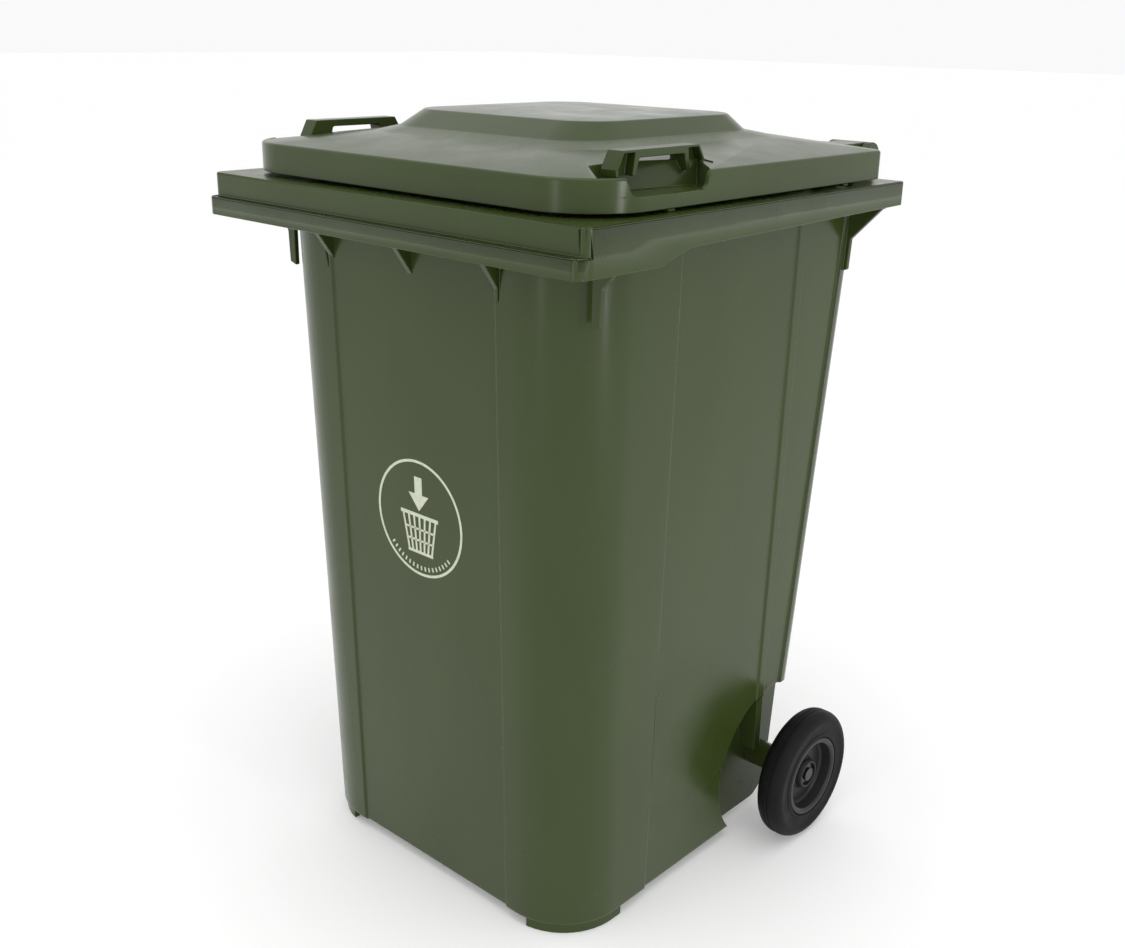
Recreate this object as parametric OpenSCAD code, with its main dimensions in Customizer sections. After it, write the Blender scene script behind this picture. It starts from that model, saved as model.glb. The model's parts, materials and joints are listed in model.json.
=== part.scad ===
// Two-wheeled litter bin with a hinged, domed lid.
// X runs left to right, Y from the front to the hinge side, Z up.
// The origin is on the ground, under the middle of the whole bin. The sizes called forwards and
// backwards are measured from the middle of the load space, and placed() moves it to its place.

/* [Body] */
// Width of the rim, side to side
rim_w = 660; // [600:5:720]
// Front of the rim, forwards from the middle
rim_front = 320; // [300:5:340]
// Back of the rim, backwards from the middle
rim_back = 330; // [320:5:360]
// Height of the top of the rim
rim_z = 968; // [840:5:1100]
// Depth of the rim's skirt along the sides and back
rim_skirt = 34; // [26:1:44]
// Depth of the rim's skirt across the front and round its corners
rim_skirt_front = 54; // [46:1:70]
// How far the lower step of the front lip stands out
lip_step = 11; // [6:1:16]
// Height of the lower step of the front lip
lip_step_h = 24; // [16:1:30]
// Thickness of the rim's skirt and top
rim_wall = 4; // [3:0.5:6]
// Width of the body at its base
base_w = 526; // [480:2:560]
// Width of the body under the rim
top_w = 555; // [530:5:600]
// Front of the body's base, forwards from the middle
base_front = 249; // [230:1:262]
// Front of the body under the rim, forwards from the middle
top_front = 274; // [262:1:284]
// Back of the body's base, backwards from the middle
base_back = 247; // [236:1:262]
// Back of the body under the rim, backwards from the middle
top_back = 326; // [300:1:328]
// Height of the body's underside over the ground
base_z = 14; // [10:1:24]
// Radius of the body's front corners
front_r = 97; // [60:1:110]
// Radius of the body's back corners
back_r = 40; // [30:1:50]
// Thickness of the body's walls
wall = 6; // [5:0.5:8]
// Depth of the sunken panels on the body's faces
panel_depth = 3; // [1:0.5:4]
// Half width of the front panel
front_panel = 150; // [110:5:165]

/* [Wheels] */
// Diameter of the tyres
wheel_d = 198; // [180:5:220]
// Width of the tyres
tyre_w = 41; // [36:1:52]
// Outer face of the tyres, out from the middle
track_half = 345; // [335:1:352]
// Place of the axle, backwards from the middle
axle_y = 210; // [200:1:220]
// Diameter of the axle
axle_d = 20; // [16:1:25]
// Free space between a tyre and its wheel arch
arch_gap = 25; // [15:1:30]

/* [Lid] */
// Width of the lid
lid_w = 630; // [600:5:650]
// Front edge of the lid, forwards from the middle
lid_front = 295; // [285:1:310]
// Back edge of the lid, backwards from the middle
lid_back = 297; // [280:1:300]
// Radius of the lid's front corners
lid_r = 90; // [60:5:100]
// Radius of the lid's back corners
lid_back_r = 16; // [12:1:60]
// Gap between the rim and the lid's skirt
lid_gap = 4.5; // [3:0.5:8]
// Height of the lid's skirt
lid_skirt = 37; // [30:1:45]
// Thickness of the lid's walls
lid_wall = 4; // [3:0.5:5]
// Height of the dome's top over the lid's skirt
dome_h = 45; // [36:1:56]
// Half width of the dome's top
dome_half = 160; // [130:5:165]
// Outer radius of the hinge knuckles and ears
hinge_r = 19; // [16:1:22]
// Diameter of the hinge pins
pin_d = 12; // [8:1:14]
// Diameter of the handle bar at the back
bar_d = 30; // [24:1:34]

/* [Clearances] */
// Running clearance of shafts and pins, on the radius
run = 0.06; // [0.02:0.01:0.1]
// Gap between pieces that face each other and turn
face_gap = 0.4; // [0.3:0.1:1]

/* [Hidden] */
$fn = 96;
hull_fn = 64;
eps = 0.02;
over = 1;

bin_green = [0.29, 0.34, 0.23];
tyre_black = [0.10, 0.10, 0.105];
core_grey = [0.22, 0.22, 0.23];
steel = [0.62, 0.63, 0.64];
print_cream = [0.80, 0.82, 0.74];

rim_h = rim_w / 2;
floor_z = base_z + wall + 1;
foot_front = 134;
foot_side = 182;
foot_inset = 4;
edge_round = 5;

// Outer face of a wall at height z, by its place at the base and under the rim
function taper(low, high, z) = low + (high - low) * (z - base_z) / (rim_z - base_z);
function front_y(z) = -taper(base_front, top_front, z);
function back_y(z) = taper(base_back, top_back, z);
function side_x(z) = taper(base_w / 2, top_w / 2, z);

// Wheel and axle
axle_r = axle_d / 2;
wheel_r = wheel_d / 2;
axle_z = wheel_r;
arch_r = wheel_r + arch_gap;
cheek_out = 236;
cheek_in = cheek_out - wall;
tyre_in = track_half - tyre_w;
boss_r = 20;
hub_in = tyre_in - 20;
washer_t = 2;
boss_end = hub_in - washer_t - 2 * face_gap;
core_r = wheel_r - 38;
tyre_shoulder = 18;
hub_face = track_half - 15;
bush_r = axle_r + 4;
clip_t = 1.6;
web_x = 80;
web_t = 6;
well_front = axle_y - 50;
well_top = axle_z + 50;

// Side panel
side_panel_front = -87;
side_panel_back = 165;
panel_rib = 15;

// Gussets under the rim
gusset_t = 9;
gusset_h = 98;
side_gussets = [-236, 287];

// Lid levels and hinge
lid_z = rim_z + lid_gap;
skirt_top = lid_z + lid_skirt;
hinge_y = rim_back + 42;
hinge_z = skirt_top - 17;
pin_r = pin_d / 2;
knuckle_w = 42;
ear_t = 12;
ear_in = 188;
knuckle_in = ear_in + ear_t + face_gap;
knuckle_out = knuckle_in + knuckle_w;
ear_out = knuckle_out + face_gap;
pin_end = ear_in + 1;
head_t = 4;
head_r = pin_r + 4;

// Dome outlines: [height over skirt, half width, front, back, front radius, back radius]
level_skirt = [0, lid_w / 2, lid_front, lid_back, lid_r, lid_back_r];
level_band = [15.5, dome_half + 45, 185, 235, 75, 60];
level_foot = [24, dome_half + 17, 157, 205, 62, 60];
level_top = [dome_h, dome_half, 125, 185, 52, 52];
mouth_back = lid_back - 14;

// The middle of the whole bin, from the lip to the hinge, behind the middle of the load space
centre_y = (hinge_y + hinge_r - rim_front - lip_step) / 2;

// Lid grips
grip_x = 255;
grip_w = 20;
grip_front = -215;
grip_back = -56;
grip_post = 34;
grip_top = skirt_top + 24;
grip_bar = 9;
scoop_floor = skirt_top - 21;
notch_front = -228;
notch_back = -91;

// Decal
decal_z = 549;
decal_r = 81;
decal_t = 0.5;
decal_line = 3.4;

module placed() {
    translate([0, -centre_y, 0]) children();
}

// A flat rounded outline, with one radius in front and one at the back
module outline(half, front, back, rf, rb) {
    polygon([[-half + rf, -front], [half - rf, -front], [half, -front + rf], [half, back - rb],
             [half - rb, back], [-half + rb, back], [-half, back - rb], [-half, -front + rf]]);
    for (s = [-1, 1]) {
        translate([s * (half - rf), -front + rf]) circle(r = rf);
        translate([s * (half - rb), back - rb]) circle(r = rb);
    }
}

// Four thin discs at the corners of a level, for a hull
module level_discs(z, half, front, back, rf, rb) {
    for (s = [-1, 1]) {
        translate([s * (half - rf), -front + rf, z]) cylinder(r = rf, h = eps, $fn = hull_fn);
        translate([s * (half - rb), back - rb, z]) cylinder(r = rb, h = eps, $fn = hull_fn);
    }
}

// Extrudes an outline given in Y and Z from x0 to x1
module along_x(x0, x1) {
    translate([x0, 0, 0]) rotate([90, 0, 90]) linear_extrude(x1 - x0) children();
}

// Extrudes an outline given in X and Z from y0 to y1
module along_y(y0, y1) {
    translate([0, y1, 0]) rotate([90, 0, 0]) linear_extrude(y1 - y0) children();
}

module both_sides() {
    for (s = [0, 1]) mirror([s, 0, 0]) children();
}

// A round bar along X
module x_bar(y, z, r, x0, x1) {
    translate([x0, y, z]) rotate([0, 90, 0]) cylinder(r = r, h = x1 - x0);
}

// ---- Body ----

module body_outside() {
    hull() {
        level_discs(base_z, base_w / 2 - edge_round, base_front - edge_round,
                    base_back - edge_round, front_r - edge_round, back_r - edge_round);
        level_discs(base_z + edge_round, side_x(base_z + edge_round), -front_y(base_z + edge_round),
                    back_y(base_z + edge_round), front_r, back_r);
        level_discs(rim_z - eps, top_w / 2, top_front, top_back, front_r, back_r);
    }
}

module body_inside() {
    hull() {
        level_discs(floor_z, side_x(floor_z) - wall, -front_y(floor_z) - wall,
                    back_y(floor_z) - wall, front_r - wall, back_r - wall);
        level_discs(rim_z - rim_wall, side_x(rim_z) - wall, -front_y(rim_z) - wall,
                    back_y(rim_z) - wall, front_r - wall, back_r - wall);
    }
}

// The opening in the rim's top, which the lid covers
module mouth() {
    translate([0, 0, rim_z - rim_wall]) linear_extrude(rim_wall + over)
        outline(side_x(rim_z) - wall, top_front - wall, mouth_back, front_r - wall, back_r - wall);
}

// The space under the back of the floor, where the axle runs; grow thickens it
module axle_well(x0, x1, grow = 0) {
    along_x(x0, x1) polygon([
        [well_front - grow, -over], [well_front - grow, well_top - 40 + grow / 2],
        [axle_y - 10 - grow / 2, well_top + grow], [back_y(0) + 60, well_top + 20 + grow],
        [back_y(0) + 60, -over]]);
}

// Sunken panels on the front, back and sides
module panels() {
    low = base_z - over;
    high = rim_z - rim_skirt - 6;
    along_x(-front_panel, front_panel) polygon([
        [front_y(low) + panel_depth, low], [front_y(high) + panel_depth, high],
        [front_y(high) - over, high], [front_y(low) - over, low]]);
    both_sides() along_y(side_panel_front, side_panel_back) polygon([
        [side_x(low) - panel_depth, low], [side_x(high) - panel_depth, high],
        [side_x(high) + over, high], [side_x(low) + over, low]]);
}

// Skirt and top of the rim, with the deep front lip and its lower step
module rim() {
    step_z = rim_z - rim_skirt_front;
    difference() {
        union() {
            translate([0, 0, step_z]) linear_extrude(rim_skirt_front)
                outline(rim_h, rim_front, rim_back, 12, 3);
            translate([0, 0, step_z]) linear_extrude(lip_step_h) intersection() {
                outline(rim_h, rim_front + lip_step, rim_back, 12, 3);
                translate([-rim_h, -rim_front - lip_step]) square([rim_w, lip_step + 30]);
            }
        }
        // hollow under the rim's top
        translate([0, 0, step_z - over]) linear_extrude(rim_skirt_front - rim_wall + over)
            outline(rim_h - rim_wall, rim_front - rim_wall, rim_back - rim_wall, 8, 2);
        translate([-rim_h + rim_wall, -rim_front - lip_step + rim_wall, step_z - over])
            cube([rim_w - 2 * rim_wall, lip_step + 20, lip_step_h - rim_wall + over]);
        // the skirt is shallower behind the front corners
        side_lift = rim_skirt_front - rim_skirt;
        along_x(-rim_h - over, rim_h + over)
            polygon([[-rim_front + 115, step_z - over], [-rim_front + 122, step_z + 1],
                     [-rim_front + 150, step_z + 0.6 * side_lift], [-rim_front + 180, step_z + 0.8 * side_lift],
                     [rim_back + over, step_z + side_lift + 2], [rim_back + over, step_z - over]]);
    }
}

// Triangular gussets that carry the rim
module gusset_profile(reach, h) {
    polygon([[0, 0], [reach, 0], [reach, -rim_skirt + rim_wall], [0, -h]]);
}

module gussets() {
    top = rim_z - rim_wall + eps;
    reach_f = rim_front - top_front - rim_wall + 2 * wall;
    reach_s = rim_h - top_w / 2 - rim_wall + wall;
    for (x = [-front_panel, 0, front_panel])
        translate([0, -top_front + wall + 3, top]) mirror([0, 1, 0])
            along_x(x - gusset_t / 2, x + gusset_t / 2) gusset_profile(reach_f, gusset_h);
    both_sides() for (y = side_gussets)
        translate([top_w / 2 - wall, 0, top]) along_y(y - gusset_t / 2, y + gusset_t / 2)
            gusset_profile(reach_s, gusset_h);
}

// Ears and bar of the rear handle, which also carry the lid's hinge
module ear(x0, x1) {
    along_x(x0, x1) polygon([
        [top_back - 3, rim_z - 78], [top_back - 3, rim_z], [rim_back - 8, rim_z],
        [hinge_y - 9, hinge_z + hinge_r - 3], [hinge_y + hinge_r - 1, hinge_z - 4],
        [hinge_y + 10, hinge_z - hinge_r + 4]]);
    x_bar(hinge_y, hinge_z, hinge_r, x0, x1);
}

module rear_handle() {
    both_sides() {
        ear(ear_in, ear_in + ear_t);
        ear(ear_out, ear_out + ear_t);
    }
    ear(-ear_t / 2, ear_t / 2);
    x_bar(hinge_y, hinge_z, bar_d / 2, -ear_in - over, ear_in + over);
}

module feet() {
    linear_extrude(base_z + 2) intersection() {
        outline(base_w / 2 - foot_inset, base_front - foot_inset, base_back, front_r - foot_inset, back_r);
        both_sides() translate([foot_side, -base_front]) square([base_w / 2, base_front - foot_front]);
    }
}

// Webs, bosses and the arch rib around the axle
module axle_supports() {
    both_sides() {
        x_bar(axle_y, axle_z, boss_r, cheek_in, boss_end);
        translate([cheek_out - over, side_panel_back, axle_z + 30])
            cube([side_x(axle_z + arch_r) - cheek_out - 1, panel_rib, arch_r - 30 + 4]);
    }
}

module body() {
    color(bin_green) difference() {
        union() {
            difference() {
                body_outside();
                panels();
                // wheel arches
                both_sides() x_bar(axle_y, axle_z, arch_r, cheek_out, rim_h);
                // space for the axle between the cheeks and the two webs
                axle_well(-web_x + web_t / 2, web_x - web_t / 2);
                both_sides() axle_well(web_x + web_t / 2, cheek_in);
                // rounded back edge of the cheeks and webs
                along_x(-rim_h, rim_h) difference() {
                    translate([base_back - 44, base_z - over]) square([60, 45]);
                    translate([base_back - 45, base_z + 44]) circle(r = 45);
                }
            }
            rim();
            gussets();
            rear_handle();
            feet();
            axle_supports();
        }
        // the load space
        difference() {
            union() {
                body_inside();
                mouth();
            }
            axle_well(-rim_h, rim_h, wall);
            both_sides() x_bar(axle_y, axle_z, arch_r + wall, cheek_in - wall, rim_h);
        }
        // bores
        x_bar(axle_y, axle_z, axle_r + run, -rim_h, rim_h);
        both_sides() x_bar(hinge_y, hinge_z, pin_r + run, pin_end, ear_out + ear_t + over);
    }
}

// ---- Lid ----

module lid_hull(low, high, shrink, drop) {
    hull() {
        level_discs(skirt_top + low[0] - drop, low[1] - shrink, low[2] - shrink, low[3] - shrink,
                    low[4] - shrink, low[5] - shrink);
        level_discs(skirt_top + high[0] - drop - eps, high[1] - shrink, high[2] - shrink, high[3] - shrink,
                    high[4] - shrink, high[5] - shrink);
    }
}

module lid_shell() {
    difference() {
        union() {
            translate([0, 0, lid_z]) linear_extrude(lid_skirt + eps)
                outline(lid_w / 2, lid_front, lid_back, lid_r, lid_back_r);
            lid_hull(level_skirt, level_band, 0, 0);
            lid_hull(level_band, level_foot, 0, 0);
            lid_hull(level_foot, level_top, 0, 0);
        }
        translate([0, 0, lid_z - over]) linear_extrude(lid_skirt - lid_wall + over + eps)
            outline(lid_w / 2 - lid_wall, lid_front - lid_wall, lid_back - lid_wall,
                    lid_r - lid_wall, lid_back_r - lid_wall);
        lid_hull(level_skirt, level_band, lid_wall, lid_wall);
        lid_hull(level_band, level_foot, lid_wall, lid_wall);
        lid_hull(level_foot, level_top, lid_wall, lid_wall);
    }
}

// Plan of the hand scoop beside a grip; grow thickens it into the tub under it
module scoop_plan(grow = 0) {
    inner = grip_x + grip_w - 14 - grow;
    outer = lid_w / 2 - lid_wall - 3;
    polygon([[inner, notch_front - 22 - grow], [outer, notch_front - 40 - grow],
             [outer, notch_back + grow], [inner, notch_back + 24 + grow]]);
}

module scoop_cut() {
    translate([0, 0, scoop_floor]) linear_extrude(60) scoop_plan();
    translate([lid_w / 2 - lid_wall - 4, notch_front, scoop_floor])
        cube([lid_wall + 10, notch_back - notch_front, 60]);
}

module scoop_tub() {
    translate([0, 0, scoop_floor - lid_wall]) linear_extrude(skirt_top - scoop_floor + lid_wall + 5)
        scoop_plan(lid_wall);
}

// Raised grip: two posts and a bar
module grip() {
    translate([grip_x, 0, 0]) along_x(0, grip_w) difference() {
        polygon([[grip_front, skirt_top], [grip_front + 12, grip_top], [grip_back - 12, grip_top],
                 [grip_back, skirt_top + 2]]);
        translate([grip_front + grip_post, skirt_top - over])
            square([grip_back - grip_front - 2 * grip_post, grip_top - grip_bar - skirt_top + over]);
    }
}

module knuckle() {
    x_bar(hinge_y, hinge_z, hinge_r, knuckle_in, knuckle_out);
    along_x(knuckle_in, knuckle_out) polygon([
        [lid_back - 6, lid_z + 4], [lid_back - 6, skirt_top + 1], [hinge_y - 8, hinge_z + hinge_r - 2],
        [hinge_y, hinge_z - hinge_r + 1], [hinge_y - 14, hinge_z - 13]]);
}

// Small pads under the lid that rest on the rim
module rest_pads() {
    pad = 12;
    both_sides() for (y = [-lid_front + 130, lid_back - 90])
        translate([lid_w / 2 - lid_wall - pad + over, y, rim_z + 0.3]) cube([pad, pad, lid_gap + 12]);
}

module lid() {
    color(bin_green) difference() {
        union() {
            lid_shell();
            both_sides() {
                intersection() {
                    scoop_tub();
                    translate([0, 0, lid_z]) linear_extrude(100)
                        outline(lid_w / 2, lid_front, lid_back, lid_r, lid_back_r);
                }
                grip();
                knuckle();
            }
            rest_pads();
        }
        both_sides() {
            difference() {
                scoop_cut();
                grip();
            }
            x_bar(hinge_y, hinge_z, pin_r + run, knuckle_in - over, knuckle_out + over);
        }
    }
}

// ---- Decal, axle, pins and wheels ----

// A round printed sign: a ring, an arrow and an open basket
module decal_art() {
    difference() {
        circle(r = decal_r);
        circle(r = decal_r - decal_line);
    }
    difference() {
        polygon([[-34, -2], [34, -2], [25, -54], [-25, -54]]);
        polygon([[-27, 2], [27, 2], [20, -48], [-20, -48]]);
    }
    for (x = [-9, 9]) translate([x - 1.6, -50]) square([3.2, 46]);
    translate([-18, -28]) square([36, 3.2]);
    polygon([[-8, 58], [8, 58], [8, 30], [20, 30], [0, 8], [-20, 30], [-8, 30]]);
}

module decal() {
    lean = atan((top_front - base_front) / (rim_z - base_z));
    face = front_y(decal_z) + panel_depth;
    color(print_cream) translate([0, face, decal_z]) rotate([90 + lean, 0, 0])
        linear_extrude(decal_t) decal_art();
}

module axle() {
    color(steel) x_bar(axle_y, axle_z, axle_r, -hub_face - 7, hub_face + 7);
}

module hinge_pin() {
    x_bar(hinge_y, hinge_z, pin_r, pin_end, ear_out + ear_t + eps);
    x_bar(hinge_y, hinge_z, head_r, ear_out + ear_t, ear_out + ear_t + head_t);
}

// Turns a profile given as [radius, x] round the axle
module wheel_turn() {
    translate([0, axle_y, axle_z]) rotate([0, 90, 0]) rotate_extrude() children();
}

module tyre() {
    wheel_turn() {
        translate([core_r, tyre_in]) square([wheel_r - tyre_shoulder - core_r, tyre_w]);
        translate([wheel_r - tyre_shoulder, tyre_in + tyre_shoulder])
            square([tyre_shoulder, tyre_w - 2 * tyre_shoulder]);
        for (x = [tyre_in + tyre_shoulder, track_half - tyre_shoulder])
            translate([wheel_r - tyre_shoulder, x]) circle(r = tyre_shoulder);
    }
}

module wheel_core() {
    rim_lip = 7;
    wheel_turn() polygon([
        [bush_r, hub_in], [boss_r, hub_in], [boss_r + 3, tyre_in + 12], [core_r - rim_lip, tyre_in + 14],
        [core_r - rim_lip, tyre_in + 3], [core_r, tyre_in + 3], [core_r, track_half - 3],
        [core_r - rim_lip, track_half - 3], [core_r - rim_lip - 5, track_half - 22], [boss_r + 6, track_half - 22],
        [boss_r + 3, hub_face], [bush_r, hub_face]]);
}

module wheel_bush() {
    wheel_turn() translate([axle_r + run, hub_in]) square([bush_r - axle_r - run, hub_face - hub_in]);
}

module axle_washer() {
    wheel_turn() translate([axle_r + run, boss_end + face_gap]) square([boss_r - 1 - axle_r - run, washer_t]);
}

module axle_clip() {
    wheel_turn() polygon([[axle_r + run, hub_face + face_gap], [axle_r + 7, hub_face + face_gap],
                          [axle_r + 7, hub_face + face_gap + clip_t],
                          [axle_r + run, hub_face + face_gap + clip_t + 1]]);
}

module left() {
    mirror([1, 0, 0]) children();
}

placed() body();
placed() lid();
placed() decal();
placed() axle();
placed() color(tyre_black) left() hinge_pin();  // hinge_pin_left
placed() color(tyre_black) hinge_pin();  // hinge_pin_right
placed() color(tyre_black) left() tyre();  // tyre_left
placed() color(tyre_black) tyre();  // tyre_right
placed() color(core_grey) left() wheel_core();  // wheel_core_left
placed() color(core_grey) wheel_core();  // wheel_core_right
placed() color(print_cream) left() wheel_bush();  // wheel_bush_left
placed() color(print_cream) wheel_bush();  // wheel_bush_right
placed() color(steel) left() axle_washer();  // axle_washer_left
placed() color(steel) axle_washer();  // axle_washer_right
placed() color(steel) left() axle_clip();  // axle_clip_left
placed() color(steel) axle_clip();  // axle_clip_right
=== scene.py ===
# Two-wheeled litter bin with a hinged, domed lid: moulded HDPE shell and lid, solid rubber tyres.
# Shapes are built in millimetres, with y counted from the middle of the load space as a maker's
# drawing counts it, and finished pieces are put in the frame's metres by place().
import json
from math import atan, cos, pi, radians, sin

import bmesh
import bpy
from mathutils import Matrix, Vector


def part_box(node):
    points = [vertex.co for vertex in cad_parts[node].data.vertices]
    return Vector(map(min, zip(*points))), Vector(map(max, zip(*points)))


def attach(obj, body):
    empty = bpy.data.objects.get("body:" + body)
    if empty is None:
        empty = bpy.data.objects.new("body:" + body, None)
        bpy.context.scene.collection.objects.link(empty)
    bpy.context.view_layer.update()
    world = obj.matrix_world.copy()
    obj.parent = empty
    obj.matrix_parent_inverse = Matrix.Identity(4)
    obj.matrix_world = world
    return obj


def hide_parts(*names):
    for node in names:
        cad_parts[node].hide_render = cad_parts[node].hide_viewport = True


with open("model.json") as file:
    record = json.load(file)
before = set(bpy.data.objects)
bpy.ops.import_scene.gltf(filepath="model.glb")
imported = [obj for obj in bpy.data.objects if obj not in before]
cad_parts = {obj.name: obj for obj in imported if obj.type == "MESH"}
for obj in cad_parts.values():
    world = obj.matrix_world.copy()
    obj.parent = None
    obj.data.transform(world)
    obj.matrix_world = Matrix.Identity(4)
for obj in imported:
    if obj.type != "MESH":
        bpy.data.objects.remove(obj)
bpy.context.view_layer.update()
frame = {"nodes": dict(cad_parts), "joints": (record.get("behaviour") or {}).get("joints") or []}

# ---- Driving sizes, from the frame ----

MM = 0.001
HINGE_BEHIND_RIM = 42
RIM_BACK = 330

joints = {joint["name"]: joint for joint in frame["joints"]}
hinge_m = joints["lid_hinge"]["pos_m"]
middle_y = hinge_m[1] / MM - RIM_BACK - HINGE_BEHIND_RIM


def box_mm(node):
    """Corners of a CAD node's box, in the drawing's millimetres."""
    return [Vector((c.x / MM, c.y / MM - middle_y, c.z / MM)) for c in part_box(node)]


body_low, body_high = box_mm("body")
lid_low, lid_high = box_mm("lid")
tyre_low, tyre_high = box_mm("tyre_right")
core_low, core_high = box_mm("wheel_core_right")
decal_low, decal_high = box_mm("decal")
pin_low, pin_high = box_mm("hinge_pin_right")

HINGE_Y = RIM_BACK + HINGE_BEHIND_RIM
HINGE_Z = hinge_m[2] / MM
LIP_STEP = 11
RIM_HALF = body_high.x
RIM_FRONT = -body_low.y - LIP_STEP
REST_GAP = 0.3
RIM_Z = lid_low.z - REST_GAP
SKIRT_Z = RIM_Z - 54
RIM_WALL = 4
RIM_CORNER, RIM_BACK_CORNER = 12, 3
RIM_TOP_ROUND = 2.5
LIP_HEIGHT = 24
SWEEP_START, SWEEP_END, SWEEP_RISE = 112, 186, 15.5
BASE_Z = 14
WALL = 6
BASE_HALF, TOP_HALF = 263, 277.5
BASE_FRONT, TOP_FRONT = 249, 274
BASE_BACK, TOP_BACK = 247, 326
FRONT_R, BACK_R = 97, 40
PANEL_DEPTH = 3
FRONT_PANEL = 150
SIDE_PANEL_FRONT, SIDE_PANEL_BACK = -87, 165
STRIP_BACK = 180
FRONT_GUSSETS, GUSSET_T, GUSSET_H = (-FRONT_PANEL, 0, FRONT_PANEL), 9, 98
SIDE_GUSSETS, SIDE_GUSSET_T = (-236, 287), 7
FOOT_SIDE, FOOT_FRONT = 182, 134
BORE_GAP = 0.1

AXLE_Y = (tyre_low.y + tyre_high.y) / 2
AXLE_Z = (tyre_low.z + tyre_high.z) / 2
TYRE_R = (tyre_high.z - tyre_low.z) / 2
TYRE_OUT, TYRE_IN = tyre_high.x, tyre_low.x
CORE_R = (core_high.z - core_low.z) / 2
AXLE_R = 10
BOSS_R = 20
ARCH_R = TYRE_R + 25
CHEEK_X = 236
WEB_X, WEB_T = 80, 6

LID_HALF, LID_FRONT, LID_BACK = lid_high.x, -lid_low.y, 297
LID_Z = RIM_Z + 4.5
SKIRT_TOP = LID_Z + 37
LID_WALL = 4
LID_FRONT_R, LID_BACK_R = 92, 16
DOME_TOP = lid_high.z
GRIP_IN, GRIP_OUT = 255, 278
GRIP_FRONT, GRIP_BACK = -215, -56
GRIP_TOP = SKIRT_TOP + 24
SCOOP_LOW = SKIRT_TOP - 21
SCOOP_FLOOR = [(256, -226), (309, -272), (309, -93), (280, -72)]
SCOOP_BRIM = [(236, -219), (309, -282), (309, -84), (262, -50)]
REST_PAD, REST_PADS = 12, (-165, 202)
HINGE_R = 19
EAR_T = 12
EAR_IN = 188
KNUCKLE_W = 42
FACE_GAP = 0.4
PIN_R = 6
HANDLE_R = 15


# ---- Mesh tools ----

CORNER_STEPS = 14
SHARP_DEG, FLAT_DEG = 28, 0.6
EDGE_SEGMENTS, EDGE_DEG = 2, 30


def new_mesh(name, bm, sharp_deg=SHARP_DEG):
    """A bmesh as an object, merged, outward-facing and smooth apart from its sharp edges."""
    bmesh.ops.remove_doubles(bm, verts=bm.verts, dist=0.02)
    bmesh.ops.recalc_face_normals(bm, faces=bm.faces)
    mesh = bpy.data.meshes.new(name)
    bm.to_mesh(mesh)
    bm.free()
    obj = bpy.data.objects.new(name, mesh)
    bpy.context.scene.collection.objects.link(obj)
    smooth(obj, sharp_deg)
    return obj


def smooth(obj, sharp_deg):
    """Smooth shading, with a sharp edge wherever two faces turn by more than sharp_deg."""
    obj.data.polygons.foreach_set("use_smooth", [True] * len(obj.data.polygons))
    obj.data.set_sharp_from_angle(angle=radians(sharp_deg))


def ring(z, half, front, back, front_r, back_r, dents=None):
    """A level outline: four round corners, and between them the dents {side: [(along, depth), ...]}."""
    dents = dents or {}
    corners = [("right", half - front_r, -front + front_r, front_r, -90),
               ("back", half - back_r, back - back_r, back_r, 0),
               ("left", -half + back_r, back - back_r, back_r, 90),
               ("front", -half + front_r, -front + front_r, front_r, 180)]
    points = []
    for side, x, y, r, start in corners:
        for k in range(CORNER_STEPS + 1):
            turn = radians(start + 90 * k / CORNER_STEPS)
            points.append(Vector((x + r * cos(turn), y + r * sin(turn), z)))
        for along, depth in dents.get(side, []):
            spot = {"right": (half - depth, along, z), "left": (-half + depth, along, z),
                    "front": (along, -front + depth, z), "back": (along, back - depth, z)}[side]
            points.append(Vector(spot))
    return points


def loft(bm, rings):
    """Extrudes the first outline through the others and gives each outline's edges."""
    verts = [bm.verts.new(p) for p in rings[0]]
    edges = [bm.edges.new(pair) for pair in zip(verts, verts[1:] + verts[:1])]
    loops = [edges]
    bmesh.ops.contextual_create(bm, geom=edges)
    for points in rings[1:]:
        fresh = {g for g in bmesh.ops.extrude_edge_only(bm, edges=edges)["geom"]
                 if isinstance(g, bmesh.types.BMVert)}
        verts = [next(e.other_vert(v) for e in v.link_edges if e.other_vert(v) in fresh) for v in verts]
        for vert, point in zip(verts, points):
            vert.co = point
        edges = [bm.edges.get(pair) for pair in zip(verts, verts[1:] + verts[:1])]
        loops.append(edges)
    bmesh.ops.contextual_create(bm, geom=edges)
    return loops


def round_edges(bm, edges, size, segments=3):
    bmesh.ops.bevel(bm, geom=list(edges), offset=size, segments=segments, profile=0.5,
                    affect="EDGES", material=-1, clamp_overlap=True)


def draw_out(bm, faces, way):
    """Gives flat faces a thickness."""
    drawn = bmesh.ops.extrude_face_region(bm, geom=faces)["geom"]
    bmesh.ops.translate(bm, vec=way, verts=[g for g in drawn if isinstance(g, bmesh.types.BMVert)])


def prism(points, axis, low, high):
    """A flat outline, given in the other two axes in X, Y, Z order, drawn out along axis."""
    bm = bmesh.new()
    verts = []
    for a, b in points:
        spot = {"x": (low, a, b), "y": (a, low, b), "z": (a, b, low)}[axis]
        verts.append(bm.verts.new(spot))
    draw_out(bm, [bm.faces.new(verts)], Vector([(high - low) if axis == name else 0 for name in "xyz"]))
    bmesh.ops.recalc_face_normals(bm, faces=bm.faces)
    return bm


def bar(y, z, r, x0, x1, segments=48):
    """A round bar along X."""
    bm = bmesh.new()
    bmesh.ops.create_cone(bm, cap_ends=True, segments=segments, radius1=r, radius2=r, depth=x1 - x0)
    bmesh.ops.rotate(bm, cent=(0, 0, 0), matrix=Matrix.Rotation(pi / 2, 3, "Y"), verts=bm.verts)
    bmesh.ops.translate(bm, vec=((x0 + x1) / 2, y, z), verts=bm.verts)
    return bm


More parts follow.
